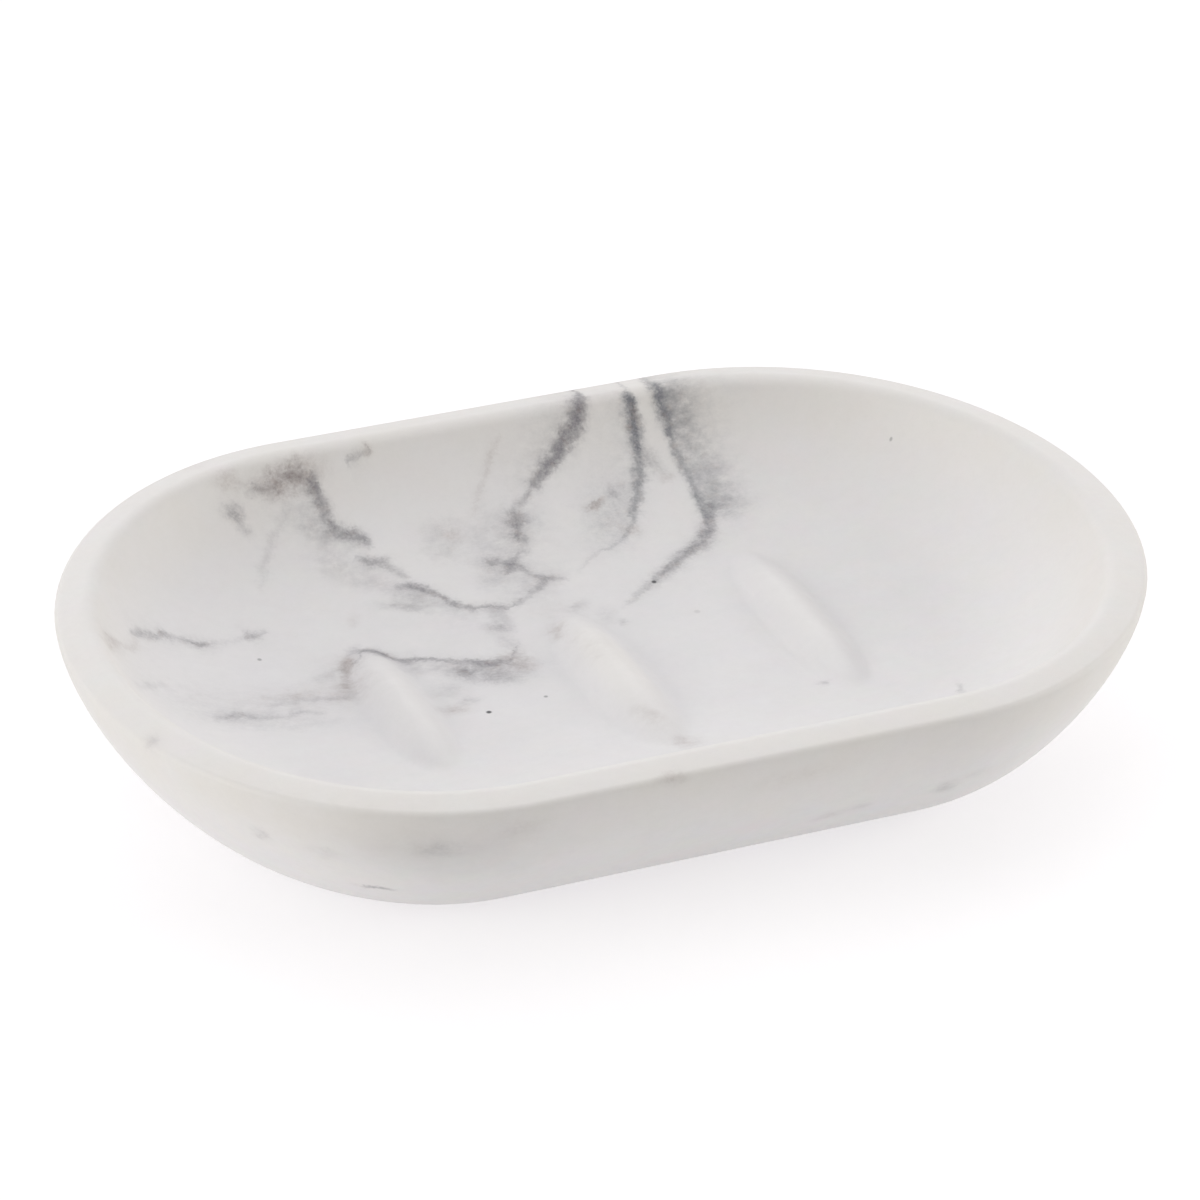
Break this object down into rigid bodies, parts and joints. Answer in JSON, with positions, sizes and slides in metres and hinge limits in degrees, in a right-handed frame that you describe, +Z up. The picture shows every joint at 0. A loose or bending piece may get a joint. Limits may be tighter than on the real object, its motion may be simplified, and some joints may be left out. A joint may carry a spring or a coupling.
{
  "type": "soap dish",
  "caption": "Oval soap dish in white marbled cast resin, with low drainage ribs in its hollow and small soft pads under its flat base.",
  "frame": {"origin": "centre of the plane it rests on, which is the underside of the pads", "axes": "+X runs along the dish, +Y across it to the back, +Z up"},
  "size_m": [0.133, 0.095, 0.023],
  "materials": {
    "marbled_resin": "satin",
    "soft_pad": "matte"
  },
  "bodies": {
    "root": {"dish": "marbled_resin", "pad_front_left": "soft_pad", "pad_front_right": "soft_pad", "pad_back_left": "soft_pad", "pad_back_right": "soft_pad"}
  },
  "joints": []
}
